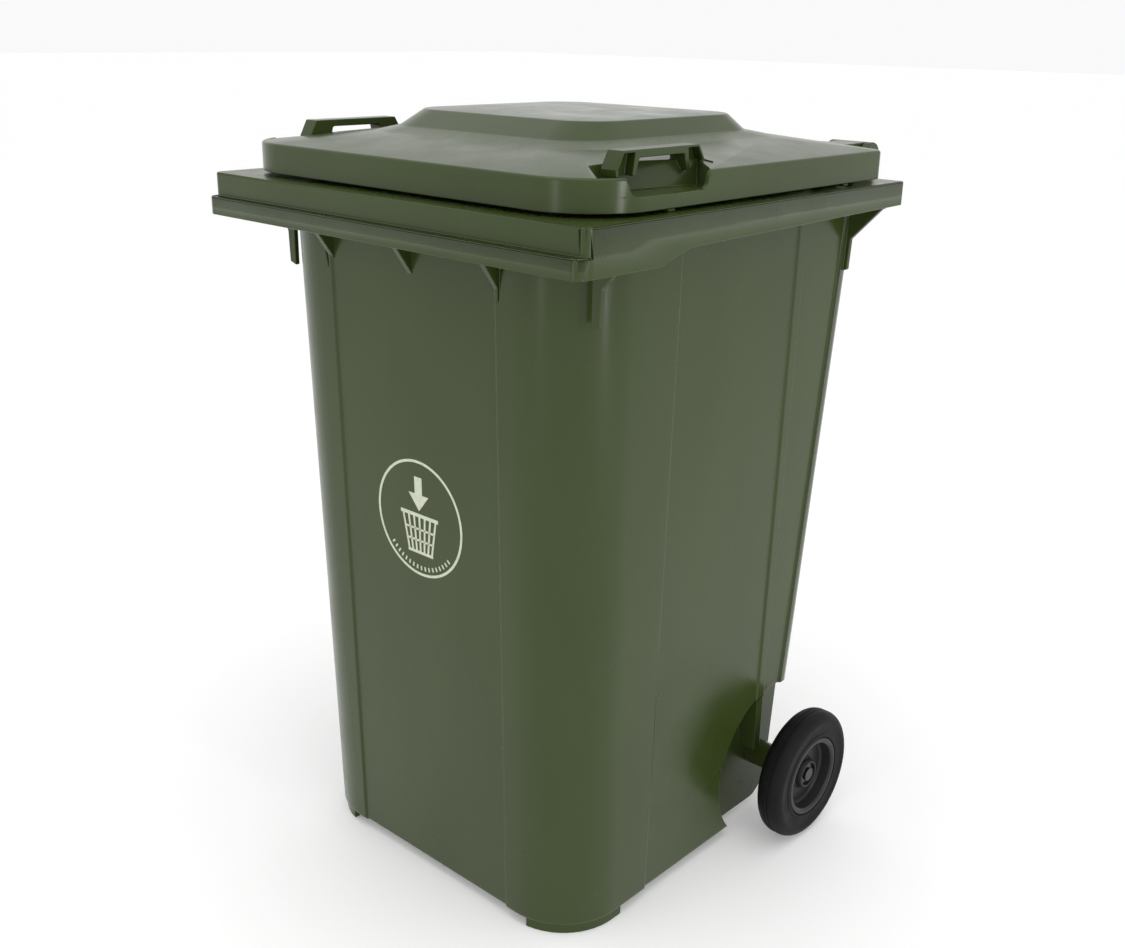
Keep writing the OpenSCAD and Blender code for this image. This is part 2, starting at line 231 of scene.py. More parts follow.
def turned(profile, steps, x_sign):
    """A closed profile of (radius, x) turned round the axle."""
    bm = bmesh.new()
    verts = [bm.verts.new((x * x_sign, AXLE_Y, AXLE_Z + r)) for r, x in profile]
    edges = [bm.edges.new(pair) for pair in zip(verts, verts[1:] + verts[:1])]
    bmesh.ops.spin(bm, geom=verts + edges, cent=(0, AXLE_Y, AXLE_Z), axis=(1, 0, 0), angle=2 * pi,
                   steps=steps, use_merge=True)
    return bm


def arc(cx, cy, r, start, end, steps):
    """Points of an arc, in degrees."""
    return [(cx + r * cos(radians(start + (end - start) * k / steps)),
             cy + r * sin(radians(start + (end - start) * k / steps))) for k in range(steps + 1)]


def mesh_of(obj):
    """Takes an object's mesh back as a bmesh and removes the object."""
    bm = bmesh.new()
    bm.from_mesh(obj.data)
    bpy.data.objects.remove(obj)
    return bm


def mirrored(bm):
    """The same shape on the other side of the bin."""
    other = bm.copy()
    bmesh.ops.scale(other, vec=(-1, 1, 1), verts=other.verts)
    bmesh.ops.reverse_faces(other, faces=other.faces)
    return other


def both_sides(bm):
    """A shape and its mirror image."""
    return [bm, mirrored(bm)]


def shape(target, how, tools):
    """Joins tools to target or cuts them from it, for good, and removes the tools."""
    for tool in tools:
        cutter = new_mesh("tool", tool)
        step = target.modifiers.new("shape", "BOOLEAN")
        step.operation = how
        step.solver = "EXACT"
        step.object = cutter
        result = target.evaluated_get(bpy.context.evaluated_depsgraph_get())
        done = bpy.data.meshes.new_from_object(result)
        target.modifiers.clear()
        target.data = done
        bpy.data.objects.remove(cutter)


def tidy_mesh(obj):
    """Merges what the cuts left: doubled points, and flat faces that are in pieces."""
    bm = bmesh.new()
    bm.from_mesh(obj.data)
    bmesh.ops.remove_doubles(bm, verts=bm.verts, dist=0.05)
    bmesh.ops.dissolve_limit(bm, angle_limit=radians(FLAT_DEG), use_dissolve_boundaries=False,
                             verts=bm.verts, edges=bm.edges)
    bm.to_mesh(obj.data)
    bm.free()
    smooth(obj, SHARP_DEG)


def soften(obj, width):
    """The small radius that every moulded edge has."""
    edge = obj.modifiers.new("edge radius", "BEVEL")
    edge.width = width * MM
    edge.segments = EDGE_SEGMENTS
    edge.limit_method = "ANGLE"
    edge.angle_limit = radians(EDGE_DEG)
    edge.use_clamp_overlap = False
    edge.harden_normals = True
    edge.miter_outer = "MITER_ARC"


def place(obj, body, finish, replaced):
    """Puts a finished shape in the frame's metres, riding on its body, instead of its CAD nodes."""
    obj.data.transform(Matrix.Scale(MM, 4) @ Matrix.Translation((0, middle_y, 0)))
    obj.data.materials.clear()
    obj.data.materials.append(finish)
    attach(obj, body)
    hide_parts(*replaced)


# ---- Materials ----

def colour(code):
    """An sRGB hex colour as linear red, green, blue and alpha."""
    parts = [int(code[i:i + 2], 16) / 255 for i in (1, 3, 5)]
    return [p / 12.92 if p <= 0.04045 else ((p + 0.055) / 1.055) ** 2.4 for p in parts] + [1]


def add(tree, kind, settings=None, links=None):
    """Adds a node; its settings go by property or by socket, and its links by socket."""
    node = tree.nodes.new(kind)
    for name, value in (settings or {}).items():
        if isinstance(name, str) and hasattr(node, name):
            setattr(node, name, value)
        else:
            node.inputs[name].default_value = value
    for socket, source in (links or {}).items():
        tree.links.new(source, node.inputs[socket])
    return node


def material(name, **settings):
    """A material with one Principled surface, and its tree and surface node."""
    made = bpy.data.materials.new(name)
    made.use_nodes = True
    surface = made.node_tree.nodes["Principled BSDF"]
    for socket, value in settings.items():
        surface.inputs[socket.replace("_", " ")].default_value = value
    return made, made.node_tree, surface


# Sockets of a colour mix, by number because its names are shared with the other kinds of mix
MIX_SHARE, MIX_A, MIX_B, MIXED = 0, 6, 7, 2


def per_metre(size_mm):
    """The texture scale whose features are about size_mm across."""
    return 1 / (size_mm * MM)


def hdpe(name, base, deep, roughness):
    # Injection-moulded HDPE: a waxy, even gloss, slow sink and flow waves in the wall that bend the
    # reflections, and a fine cavity grain.
    made, tree, surface = material(name, IOR=1.53, Specular_IOR_Level=0.3)
    place_on = add(tree, "ShaderNodeTexCoord").outputs["Object"]
    flow = add(tree, "ShaderNodeMapping", {"Scale": (1, 1, 0.35)}, {"Vector": place_on}).outputs[0]
    tone = add(tree, "ShaderNodeTexNoise", {"Scale": per_metre(140), "Detail": 3},
               {"Vector": flow}).outputs[0]
    share = add(tree, "ShaderNodeMapRange", {"From Min": 0.3, "From Max": 0.7},
                {"Value": tone}).outputs[0]
    mix = add(tree, "ShaderNodeMix", {"data_type": "RGBA", MIX_A: colour(base), MIX_B: colour(deep)},
              {MIX_SHARE: share})
    tree.links.new(mix.outputs[MIXED], surface.inputs["Base Color"])
    haze = add(tree, "ShaderNodeTexNoise", {"Scale": per_metre(60), "Detail": 4, "Roughness": 0.6},
               {"Vector": place_on}).outputs[0]
    gloss = add(tree, "ShaderNodeMapRange", {"From Min": 0.3, "From Max": 0.7, "To Min": roughness - 0.04,
                                             "To Max": roughness + 0.07}, {"Value": haze}).outputs[0]
    tree.links.new(gloss, surface.inputs["Roughness"])
    wave = add(tree, "ShaderNodeTexNoise", {"Scale": per_metre(90), "Detail": 1},
               {"Vector": flow}).outputs[0]
    waves = add(tree, "ShaderNodeBump", {"Strength": 0.35, "Distance": 0.0012},
                {"Height": wave}).outputs[0]
    # The cavity grain is about 0.3 mm on the real thing and is drawn at 1.4 mm so that it shows
    grain = add(tree, "ShaderNodeTexNoise", {"Scale": per_metre(1.4)}, {"Vector": place_on}).outputs[0]
    fine = add(tree, "ShaderNodeBump", {"Strength": 0.08, "Distance": 0.0001},
               {"Height": grain, "Normal": waves}).outputs[0]
    tree.links.new(fine, surface.inputs["Normal"])
    return made


def rubber():
    # Solid black tyre rubber: dull, slightly dusty, with a pebbled skin.
    made, tree, surface = material("tyre_rubber", IOR=1.52, Specular_IOR_Level=0.15)
    place_on = add(tree, "ShaderNodeTexCoord").outputs["Object"]
    dust = add(tree, "ShaderNodeTexNoise", {"Scale": per_metre(25), "Detail": 5, "Roughness": 0.65},
               {"Vector": place_on}).outputs[0]
    share = add(tree, "ShaderNodeMapRange", {"From Min": 0.35, "From Max": 0.75},
                {"Value": dust}).outputs[0]
    mix = add(tree, "ShaderNodeMix", {"data_type": "RGBA", MIX_A: colour("#0c0c0d"),
                                      MIX_B: colour("#151516")}, {MIX_SHARE: share})
    tree.links.new(mix.outputs[MIXED], surface.inputs["Base Color"])
    dull = add(tree, "ShaderNodeMapRange",
               {"From Min": 0.3, "From Max": 0.7, "To Min": 0.5, "To Max": 0.68},
               {"Value": dust}).outputs[0]
    tree.links.new(dull, surface.inputs["Roughness"])
    pebble = add(tree, "ShaderNodeTexNoise", {"Scale": per_metre(2.2), "Detail": 3},
                 {"Vector": place_on}).outputs[0]
    bump = add(tree, "ShaderNodeBump", {"Strength": 0.3, "Distance": 0.0004}, {"Height": pebble}).outputs[0]
    tree.links.new(bump, surface.inputs["Normal"])
    return made


def dark_plastic(name, base, roughness):
    # Moulded polypropylene: dark, satin, with a light spark-eroded texture.
    made, tree, surface = material(name, IOR=1.49, Specular_IOR_Level=0.28)
    surface.inputs["Base Color"].default_value = colour(base)
    place_on = add(tree, "ShaderNodeTexCoord").outputs["Object"]
    haze = add(tree, "ShaderNodeTexNoise", {"Scale": per_metre(18), "Detail": 4},
               {"Vector": place_on}).outputs[0]
    satin = add(tree, "ShaderNodeMapRange", {"From Min": 0.3, "From Max": 0.7, "To Min": roughness - 0.06,
                                             "To Max": roughness + 0.06}, {"Value": haze}).outputs[0]
    tree.links.new(satin, surface.inputs["Roughness"])
    skin = add(tree, "ShaderNodeTexNoise", {"Scale": per_metre(1.2), "Detail": 3},
               {"Vector": place_on}).outputs[0]
    bump = add(tree, "ShaderNodeBump", {"Strength": 0.25, "Distance": 0.0002}, {"Height": skin}).outputs[0]
    tree.links.new(bump, surface.inputs["Normal"])
    return made


def coated_steel():
    # Drawn steel bar with a dark zinc-nickel coat: metallic, with fine drawing lines along it.
    made, tree, surface = material("coated_steel", Metallic=1.0)
    place_on = add(tree, "ShaderNodeTexCoord").outputs["Object"]
    along = add(tree, "ShaderNodeMapping", {"Scale": (0.04, 1, 1)}, {"Vector": place_on}).outputs[0]
    lines = add(tree, "ShaderNodeTexNoise", {"Scale": per_metre(1.5), "Detail": 3},
                {"Vector": along}).outputs[0]
    share = add(tree, "ShaderNodeMapRange", {"From Min": 0.3, "From Max": 0.7},
                {"Value": lines}).outputs[0]
    mix = add(tree, "ShaderNodeMix", {"data_type": "RGBA", MIX_A: colour("#3a3b3d"),
                                      MIX_B: colour("#56585a")}, {MIX_SHARE: share})
    tree.links.new(mix.outputs[MIXED], surface.inputs["Base Color"])
    brushed = add(tree, "ShaderNodeMapRange", {"From Min": 0.3, "From Max": 0.7, "To Min": 0.32,
                                               "To Max": 0.48}, {"Value": lines}).outputs[0]
    tree.links.new(brushed, surface.inputs["Roughness"])
    bump = add(tree, "ShaderNodeBump", {"Strength": 0.2, "Distance": 0.0001}, {"Height": lines}).outputs[0]
    tree.links.new(bump, surface.inputs["Normal"])
    return made


def print_ink():
    # Screen print in off-white ink: matt, slightly uneven where the film is thin.
    made, tree, surface = material("print_ink", IOR=1.48)
    place_on = add(tree, "ShaderNodeTexCoord").outputs["Object"]
    thin = add(tree, "ShaderNodeTexNoise", {"Scale": per_metre(6), "Detail": 4, "Roughness": 0.6},
               {"Vector": place_on}).outputs[0]
    share = add(tree, "ShaderNodeMapRange", {"From Min": 0.3, "From Max": 0.8},
                {"Value": thin}).outputs[0]
    mix = add(tree, "ShaderNodeMix", {"data_type": "RGBA", MIX_A: colour("#ccd0bb"),
                                      MIX_B: colour("#b3baa0")}, {MIX_SHARE: share})
    tree.links.new(mix.outputs[MIXED], surface.inputs["Base Color"])
    matt = add(tree, "ShaderNodeMapRange",
               {"From Min": 0.3, "From Max": 0.7, "To Min": 0.42, "To Max": 0.55},
               {"Value": thin}).outputs[0]
    tree.links.new(matt, surface.inputs["Roughness"])
    return made


bin_green = hdpe("olive_hdpe", "#35421b", "#313d18", 0.22)
tyre_rubber = rubber()
core_plastic = dark_plastic("wheel_polypropylene", "#222224", 0.42)
pin_plastic = dark_plastic("pin_polypropylene", "#1b1c1d", 0.4)
bush_plastic = dark_plastic("acetal", "#8f8f86", 0.35)
steel = coated_steel()
ink = print_ink()


# ---- Body ----

def taper(low, high, z):
    """A size of the wall at a height, from its values at the base and at the rim."""
    return low + (high - low) * (z - BASE_Z) / (RIM_Z - BASE_Z)


def wall_ring(z, inset, dented):
    """The body's outline at a height, moved inwards by inset."""
    half, front, back = (taper(*pair, z) - inset for pair in
                         ((BASE_HALF, TOP_HALF), (BASE_FRONT, TOP_FRONT), (BASE_BACK, TOP_BACK)))
    dents = None
    if dented:
        d, run_in = PANEL_DEPTH, 3
        side = [(SIDE_PANEL_FRONT, 0), (SIDE_PANEL_FRONT + run_in, d), (SIDE_PANEL_BACK - run_in, d),
                (SIDE_PANEL_BACK, 0), (STRIP_BACK, 0), (STRIP_BACK + run_in, d),
                (back - BACK_R - run_in, d), (back - BACK_R - 1, 0)]
        face = [(-FRONT_PANEL, 0), (-FRONT_PANEL + run_in, d), (FRONT_PANEL - run_in, d), (FRONT_PANEL, 0)]
        dents = {"right": side, "left": side[::-1], "front": face, "back": face[::-1]}
    return ring(z, half, front, back, FRONT_R - inset, BACK_R - inset, dents)


def rounded_levels(low_z, high_z, r, inset, dented):
    """Outlines of a tub with a round bottom edge."""
    steps = 5
    bottom = []
    for k in range(steps):
        turn = pi / 2 * k / steps
        bottom.append(wall_ring(low_z + r * (1 - cos(turn)), inset + r * (1 - sin(turn)), dented))
    return bottom + [wall_ring(low_z + r, inset, dented), wall_ring(high_z, inset, dented)]


def axle_well(x0, x1, grow=0):
    """The space under the back of the floor where the axle runs."""
    front, top, back = AXLE_Y - 50, AXLE_Z + 50, BASE_BACK + 60
    return prism([(front - grow, -1), (front - grow, top - 40 + grow / 2),
                  (AXLE_Y - 10 - grow / 2, top + grow), (back, top + 20 + grow), (back, -1)], "x", x0, x1)


def load_space():
    """The inside of the bin, one wall's thickness off the outline, the arches and the axle's space."""
    bm = bmesh.new()
    loft(bm, rounded_levels(BASE_Z + WALL + 1, RIM_Z - RIM_WALL, 18, WALL, False))
    space = new_mesh("load_space", bm)
    shape(space, "DIFFERENCE", [axle_well(-RIM_HALF, RIM_HALF, WALL)]
          + both_sides(bar(AXLE_Y, AXLE_Z, ARCH_R + WALL, CHEEK_X - 2 * WALL, RIM_HALF, segments=96)))
    return mesh_of(space)


def outline_block(z0, z1, half, front, back, front_r, back_r, top_round=0):
    """A block with the outline of ring() at two heights."""
    bm = bmesh.new()
    loops = loft(bm, [ring(z, half, front, back, front_r, back_r) for z in (z0, z1)])
    if top_round:
        round_edges(bm, loops[1], top_round)
    return bm


def skirt_sweep():
    """What is cut off the skirt's lower edge, which sweeps up behind the front corners."""
    start, end, steps = -RIM_FRONT + SWEEP_START, -RIM_FRONT + SWEEP_END, 14
    low, behind = SKIRT_Z - 9, RIM_BACK + 9
    sweep = []
    for k in range(steps + 1):
        share = k / steps
        height = (SWEEP_RISE + 0.5) * (3 - 2 * share) * share ** 2
        sweep.append((start + (end - start) * share, SKIRT_Z - 0.5 + height))
    return prism([(start - 1, low)] + sweep + [(behind, SKIRT_Z + 22), (behind, low)],
                 "x", -RIM_HALF - 9, RIM_HALF + 9)


def rim():
    """Top plate, skirt and the deeper, stepped lip across the front."""
    corners = (RIM_CORNER, RIM_BACK_CORNER, RIM_TOP_ROUND)
    block = new_mesh("rim", outline_block(SKIRT_Z, RIM_Z, RIM_HALF, RIM_FRONT, RIM_BACK, *corners))
    step_z, far = SKIRT_Z + LIP_HEIGHT, 400
    lip = new_mesh("lip", outline_block(SKIRT_Z, step_z, RIM_HALF - 0.5, RIM_FRONT + LIP_STEP, RIM_BACK,
                                        *corners))
    front_only = [(-far, -far), (far, -far), (far, -RIM_FRONT + 18), (-far, -RIM_FRONT + 18)]
    shape(lip, "INTERSECT", [prism(front_only, "z", 0, 1000)])
    shape(block, "UNION", [mesh_of(lip)])
    under = 1
    inner = outline_block(SKIRT_Z - under, RIM_Z - RIM_WALL, RIM_HALF - RIM_WALL, RIM_FRONT - RIM_WALL,
                          RIM_BACK - RIM_WALL, RIM_CORNER - RIM_WALL, 2)
    corner, lip_y, lip_x = 9, -RIM_FRONT - LIP_STEP + RIM_WALL, RIM_HALF - RIM_WALL - 1
    lip_inner = prism([(-lip_x + corner, lip_y), (lip_x - corner, lip_y), (lip_x, lip_y + corner),
                       (lip_x, -RIM_FRONT + 12), (-lip_x, -RIM_FRONT + 12), (-lip_x, lip_y + corner)],
                      "z", SKIRT_Z - under, step_z - RIM_WALL)
    mouth = outline_block(RIM_Z - 20, RIM_Z + 9, taper(BASE_HALF, TOP_HALF, RIM_Z) - WALL, TOP_FRONT - WALL,
                          LID_BACK - 14, FRONT_R - WALL, BACK_R - WALL)
    shape(block, "DIFFERENCE", [inner, lip_inner, skirt_sweep(), mouth])
    return mesh_of(block)


def front_gusset(x):
    """A rib under the front lip, deep at the top and running out on the wall."""
    wall_y, top = -TOP_FRONT + 9, RIM_Z - RIM_WALL + 0.5
    reach = RIM_FRONT - RIM_WALL - TOP_FRONT + 9.5
    tip_y = wall_y - reach
    return prism([(wall_y, top), (tip_y, top), (tip_y, top - 26), (wall_y, top - GUSSET_H)],
                 "x", x - GUSSET_T / 2, x + GUSSET_T / 2)


def side_gusset(y):
    """A triangle under the rim with a narrow strip that runs on down the wall."""
    wall_x, skirt_x, top = TOP_HALF - WALL, RIM_HALF - RIM_WALL + 0.5, RIM_Z - RIM_WALL + 0.5
    return prism([(wall_x - 3, top), (skirt_x, top), (skirt_x, top - 30), (wall_x + 11, top - 76),
                  (wall_x + 9, top - 118), (wall_x - 3, top - 122)],
                 "y", y - SIDE_GUSSET_T / 2, y + SIDE_GUSSET_T / 2)


def gusset_pocket(x, side):
    """The dark, wedge-shaped pocket beside a front rib, cut into the wall."""
    top, low, near = RIM_Z - 34, RIM_Z - 108, x + side * GUSSET_T / 2
    return prism([(near, top), (near + side * 15, top), (near + side, low), (near, low)],
                 "y", -TOP_FRONT - 20, -TOP_FRONT + WALL - 0.5)


def ear(x0, x1):
    """A plate behind the rim that carries the handle bar and the lid's hinge."""
    low = RIM_Z - 78
    back = arc(HINGE_Y, HINGE_Z, HINGE_R, -40, 118, 14)
    return prism([(TOP_BACK - 3, low), *back, (RIM_BACK - 8, RIM_Z - 0.5), (TOP_BACK - 3, RIM_Z - 0.5)],
                 "x", x0, x1)


def foot():
    """The pad that stands on the ground under a front corner."""
    inset, far = 4, 400
    block = new_mesh("foot", outline_block(0, BASE_Z + 3, BASE_HALF - inset, BASE_FRONT - inset, BASE_BACK,
                                           FRONT_R - inset, BACK_R))
    corner = [(FOOT_SIDE, -300), (far, -300), (far, -FOOT_FRONT), (FOOT_SIDE, -FOOT_FRONT)]
    shape(block, "INTERSECT", [prism(corner, "z", -9, 99)])
    return mesh_of(block)


def back_edge():
    """What is cut off to round the floor's back edge."""
    r, low, behind = 45, BASE_Z - 1, BASE_BACK + 20
    edge = arc(BASE_BACK - r, low + r, r, -90, 0, 12)
    return prism([(behind, BASE_Z - 9)] + edge + [(behind, low + r)], "x", -RIM_HALF, RIM_HALF)


def arch_strip():
    """The wall's raised strip, carried on down inside the front of a wheel arch."""
    front, low, high = STRIP_BACK - 15, AXLE_Z + 30, AXLE_Z + ARCH_R + 4
    return prism([(front, low), (STRIP_BACK, low), (STRIP_BACK, high), (front, high)],
                 "x", CHEEK_X - 1, taper(BASE_HALF, TOP_HALF, AXLE_Z + ARCH_R) - 1)


def make_body():
    bm = bmesh.new()
    loft(bm, rounded_levels(BASE_Z, RIM_Z - 2, 6, 0, True))
    body = new_mesh("body_moulding", bm)
    arches = both_sides(bar(AXLE_Y, AXLE_Z, ARCH_R, CHEEK_X, RIM_HALF, segments=96))
    wells = [axle_well(-WEB_X + WEB_T / 2, WEB_X - WEB_T / 2)]
    wells += both_sides(axle_well(WEB_X + WEB_T / 2, CHEEK_X - WALL))
    pockets = [gusset_pocket(x, side) for x in FRONT_GUSSETS for side in (-1, 1)]
    shape(body, "DIFFERENCE", arches + wells + [back_edge()] + pockets)
    outer_ear = EAR_IN + EAR_T + KNUCKLE_W + 2 * FACE_GAP
    boss_end = core_low.x - 2 - 2 * FACE_GAP
    parts = [rim()] + [front_gusset(x) for x in FRONT_GUSSETS]
    for y in SIDE_GUSSETS:
        parts += both_sides(side_gusset(y))
    parts += both_sides(ear(EAR_IN, EAR_IN + EAR_T)) + both_sides(ear(outer_ear, outer_ear + EAR_T))
    parts += [ear(-EAR_T / 2, EAR_T / 2), bar(HINGE_Y, HINGE_Z, HANDLE_R, -EAR_IN - 1, EAR_IN + 1)]
    parts += both_sides(foot()) + both_sides(arch_strip())
    parts += both_sides(bar(AXLE_Y, AXLE_Z, BOSS_R, CHEEK_X - WALL, boss_end))
    shape(body, "UNION", parts)
    bores = [bar(AXLE_Y, AXLE_Z, AXLE_R + BORE_GAP, -RIM_HALF, RIM_HALF)]
    bores += both_sides(bar(HINGE_Y, HINGE_Z, PIN_R + BORE_GAP, pin_low.x, pin_high.x))
    shape(body, "DIFFERENCE", [load_space()] + bores)
    tidy_mesh(body)
    soften(body, 1.3)
    place(body, "bin", bin_green, ["body"])


# ---- Lid ----

LEVELS = {  # height over the skirt's top, half width, front, back, front radius, back radius
    "skirt": (0, LID_HALF, LID_FRONT, LID_BACK, LID_FRONT_R, LID_BACK_R),
    "band": (15.5, 205, 185, 235, 75, 60),
    "foot": (22.5, 178, 158, 206, 62, 60),
    "top": (DOME_TOP - SKIRT_TOP - 2, 160, 125, 185, 52, 52),
    "crown": (DOME_TOP - SKIRT_TOP - 0.4, 120, 85, 145, 36, 36),
}
LEVEL_ROUNDS = ((1, 3.5, 4), (2, 2.5, 3), (3, 2, 2), (4, 2, 3))  # outline, radius, segments


def lid_ring(level, inset, drop):
    """One of the lid's outlines, moved inwards by inset and down by drop."""
    height, *sizes = LEVELS[level]
    return ring(SKIRT_TOP + height - drop, *(size - inset for size in sizes))


def lid_solid(inset=0, drop=0, low=0):
    """The lid as a filled block: skirt, gentle slope, dome side and a slightly crowned top."""
    bm = bmesh.new()
    first = ring(LID_Z - low, *(size - inset for size in LEVELS["skirt"][1:]))
    loops = loft(bm, [first] + [lid_ring(name, inset, drop) for name in LEVELS])
    for level, size, segments in LEVEL_ROUNDS:
        round_edges(bm, [e for e in loops[level] if e.is_valid], size, segments)
    return bm


def scoop_block(grow=0):
    """A block from the corner's hip line down to a flat floor; grow thickens it into the tub."""
    bm = bmesh.new()
    outward = ((-grow, -grow), (grow, -grow), (grow, grow), (-grow, grow))
    levels = []
    for z, plan in ((SCOOP_LOW - grow, SCOOP_FLOOR), (GRIP_TOP, SCOOP_BRIM)):
        levels.append([Vector((x + dx, y + dy, z)) for (x, y), (dx, dy) in zip(plan, outward)])
    loft(bm, levels)
    bmesh.ops.triangulate(bm, faces=bm.faces, quad_method="FIXED")
    return bm


def scoop():
    """The hand scoop beside a grip; the skirt's wall stays standing round it."""
    block = new_mesh("scoop", scoop_block())
    wall, tall = 3.5, 40
    inside = outline_block(SKIRT_TOP - tall, SKIRT_TOP + tall, LID_HALF - wall, LID_FRONT - wall,
                           LID_BACK - wall, LID_FRONT_R - wall, LID_BACK_R - wall)
    shape(block, "INTERSECT", [inside])
    return mesh_of(block)


def notch():
    """Where the scoop breaks through the skirt."""
    r, knee, high = 11, SKIRT_TOP - 4, SKIRT_TOP + 30
    front = [(-234, high), (-234, knee)] + arc(-230 + r, SCOOP_LOW + r, r, 180, 270, 8)
    back = arc(-97 - r, SCOOP_LOW + r, r, -90, 0, 8) + [(-95, knee), (-82, SKIRT_TOP + 9), (-82, high)]
    return prism(front + back, "x", LID_HALF - 12, LID_HALF + 9)


def grip():
    """Raised grip: two posts and a bar, with a sunken outer face between two ribs."""
    base, top, window_r = SKIRT_TOP - 4, GRIP_TOP, 4
    below, rib_z, window_z = base - 5, top - 3.2, top - 13
    outline = [(GRIP_FRONT, base), (GRIP_FRONT, base + 8), (GRIP_FRONT + 11, top), (GRIP_BACK - 11, top),
               (GRIP_BACK, base + 10), (GRIP_BACK, base)]
    block = new_mesh("grip", prism(outline, "x", GRIP_IN, GRIP_OUT))
    window = ([(-183, below), (-177, window_z)] + arc(-173, window_z, window_r, 170, 90, 4)
              + arc(-98, window_z, window_r, 90, 0, 4) + [(-88, below)])
    front = [(-211, below), (-211, base + 8), (-202, rib_z), (-183, rib_z), (-188, below)]
    back = [(-84, below), (-88, rib_z), (-69, rib_z), (-60, base + 9), (-60, below)]
    sunken, beyond = GRIP_OUT - 12, GRIP_OUT + 22
    shape(block, "DIFFERENCE", [prism(window, "x", GRIP_IN - 15, beyond),
                                prism(front, "x", sunken, beyond), prism(back, "x", sunken, beyond)])
    return mesh_of(block)


def knuckle():
    """Hinge arm at the back of the lid, with a round eye on the pin."""
    x0, root_y = EAR_IN + EAR_T + FACE_GAP, LID_BACK - 6
    eye = arc(HINGE_Y, HINGE_Z, HINGE_R, -110, 105, 16)
    return prism([(root_y, LID_Z + 4), (HINGE_Y - 16, HINGE_Z - 13), *eye, (root_y, SKIRT_TOP + 1)],
                 "x", x0, x0 + KNUCKLE_W)


def rest_pad(y):
    """A pad inside the skirt that the shut lid rests on."""
    x_in, x_out = LID_HALF - LID_WALL - REST_PAD, LID_HALF - LID_WALL + 1
    return prism([(x_in, y), (x_out, y), (x_out, y + REST_PAD), (x_in, y + REST_PAD)],
                 "z", RIM_Z + REST_GAP, LID_Z + 12)


def make_lid():
    hollow = new_mesh("hollow", lid_solid(LID_WALL, LID_WALL, 9))
    shape(hollow, "DIFFERENCE", both_sides(scoop_block(LID_WALL)))
    lid = new_mesh("lid_moulding", lid_solid())
    shape(lid, "DIFFERENCE", [mesh_of(hollow)] + both_sides(scoop()) + both_sides(notch()))
    parts = both_sides(grip()) + both_sides(knuckle())
    for y in REST_PADS:
        parts += both_sides(rest_pad(y))
    shape(lid, "UNION", parts)
    bore_end = 300
    shape(lid, "DIFFERENCE", both_sides(bar(HINGE_Y, HINGE_Z, PIN_R + BORE_GAP, EAR_IN, bore_end)))
    tidy_mesh(lid)
    soften(lid, 1.2)
    place(lid, "lid", bin_green, ["lid"])


# ---- Wheels ----

WHEEL_SHARP_DEG = 34
TYRE_STEPS, CORE_STEPS = 120, 96


def tyre_profile():
    """Solid tyre: full round shoulders, two shallow tread grooves and a raised bead ring."""
    shoulder, groove = 16, 1.2
    middle = (TYRE_IN + TYRE_OUT) / 2
    turns = [radians(a) for a in range(0, 91, 10)]
    outer = [(TYRE_R - shoulder + shoulder * sin(a), TYRE_OUT - shoulder + shoulder * cos(a))
             for a in turns]
    inner = [(r, 2 * middle - x) for r, x in reversed(outer)]
    tread = []
    for x in (middle + 3, middle - 3):
        tread += [(TYRE_R, x + 1.4), (TYRE_R - groove, x + 0.7),
                  (TYRE_R - groove, x - 0.7), (TYRE_R, x - 1.4)]
    face_out = [(CORE_R, TYRE_OUT - 3), (CORE_R + 1.2, TYRE_OUT - 0.6), (CORE_R + 5, TYRE_OUT - 0.4),
                (CORE_R + 6.5, TYRE_OUT - 1.6), (TYRE_R - shoulder - 3, TYRE_OUT - 1.2)]
    face_in = [(r, 2 * middle - x) for r, x in reversed(face_out)]
    return face_out + outer + tread + inner + face_in


def core_profile():
    """Dished wheel centre with a flange under the tyre, a hub tube and a cup round the axle's end."""
    lip, dish, bush_r, cup = CORE_R - 9, TYRE_OUT - 20, AXLE_R + 4, core_high.x - 15
    inner_side = [(bush_r, core_low.x), (BOSS_R, core_low.x), (BOSS_R + 3, TYRE_IN + 12),
                  (CORE_R - 8, TYRE_IN + 14), (CORE_R - 7, TYRE_IN + 3), (CORE_R, TYRE_IN + 3)]
    outer_lip = [(CORE_R, TYRE_OUT - 3), (CORE_R - 1, TYRE_OUT - 1.2), (CORE_R - 3, TYRE_OUT - 0.8),
                 (lip + 2, TYRE_OUT - 1.6), (lip, TYRE_OUT - 3.5), (lip - 2, dish + 3), (lip - 5, dish)]
    hub = [(BOSS_R + 6, dish + 0.5), (BOSS_R + 3, dish + 3), (BOSS_R + 1.5, dish + 10),
           (BOSS_R, dish + 11.5), (BOSS_R - 2, dish + 11), (BOSS_R - 2.4, cup), (bush_r, cup)]
    return inner_side + outer_lip + hub


def make_wheel(side, sign):
    tyre = new_mesh(f"tyre_{side}_moulding", turned(tyre_profile(), TYRE_STEPS, sign), WHEEL_SHARP_DEG)
    place(tyre, f"wheel_{side}", tyre_rubber, [f"tyre_{side}"])
    core = new_mesh(f"wheel_core_{side}_moulding", turned(core_profile(), CORE_STEPS, sign),
                    WHEEL_SHARP_DEG)
    place(core, f"wheel_{side}", core_plastic, [f"wheel_core_{side}"])


# ---- Printed sign ----

SIGN_T = 0.5


def flat_shape(bm, points):
    """Adds a flat outline to the sign, as thick as the print."""
    draw_out(bm, [bm.faces.new([bm.verts.new((x, 0, z)) for x, z in points])], (0, -SIGN_T, 0))


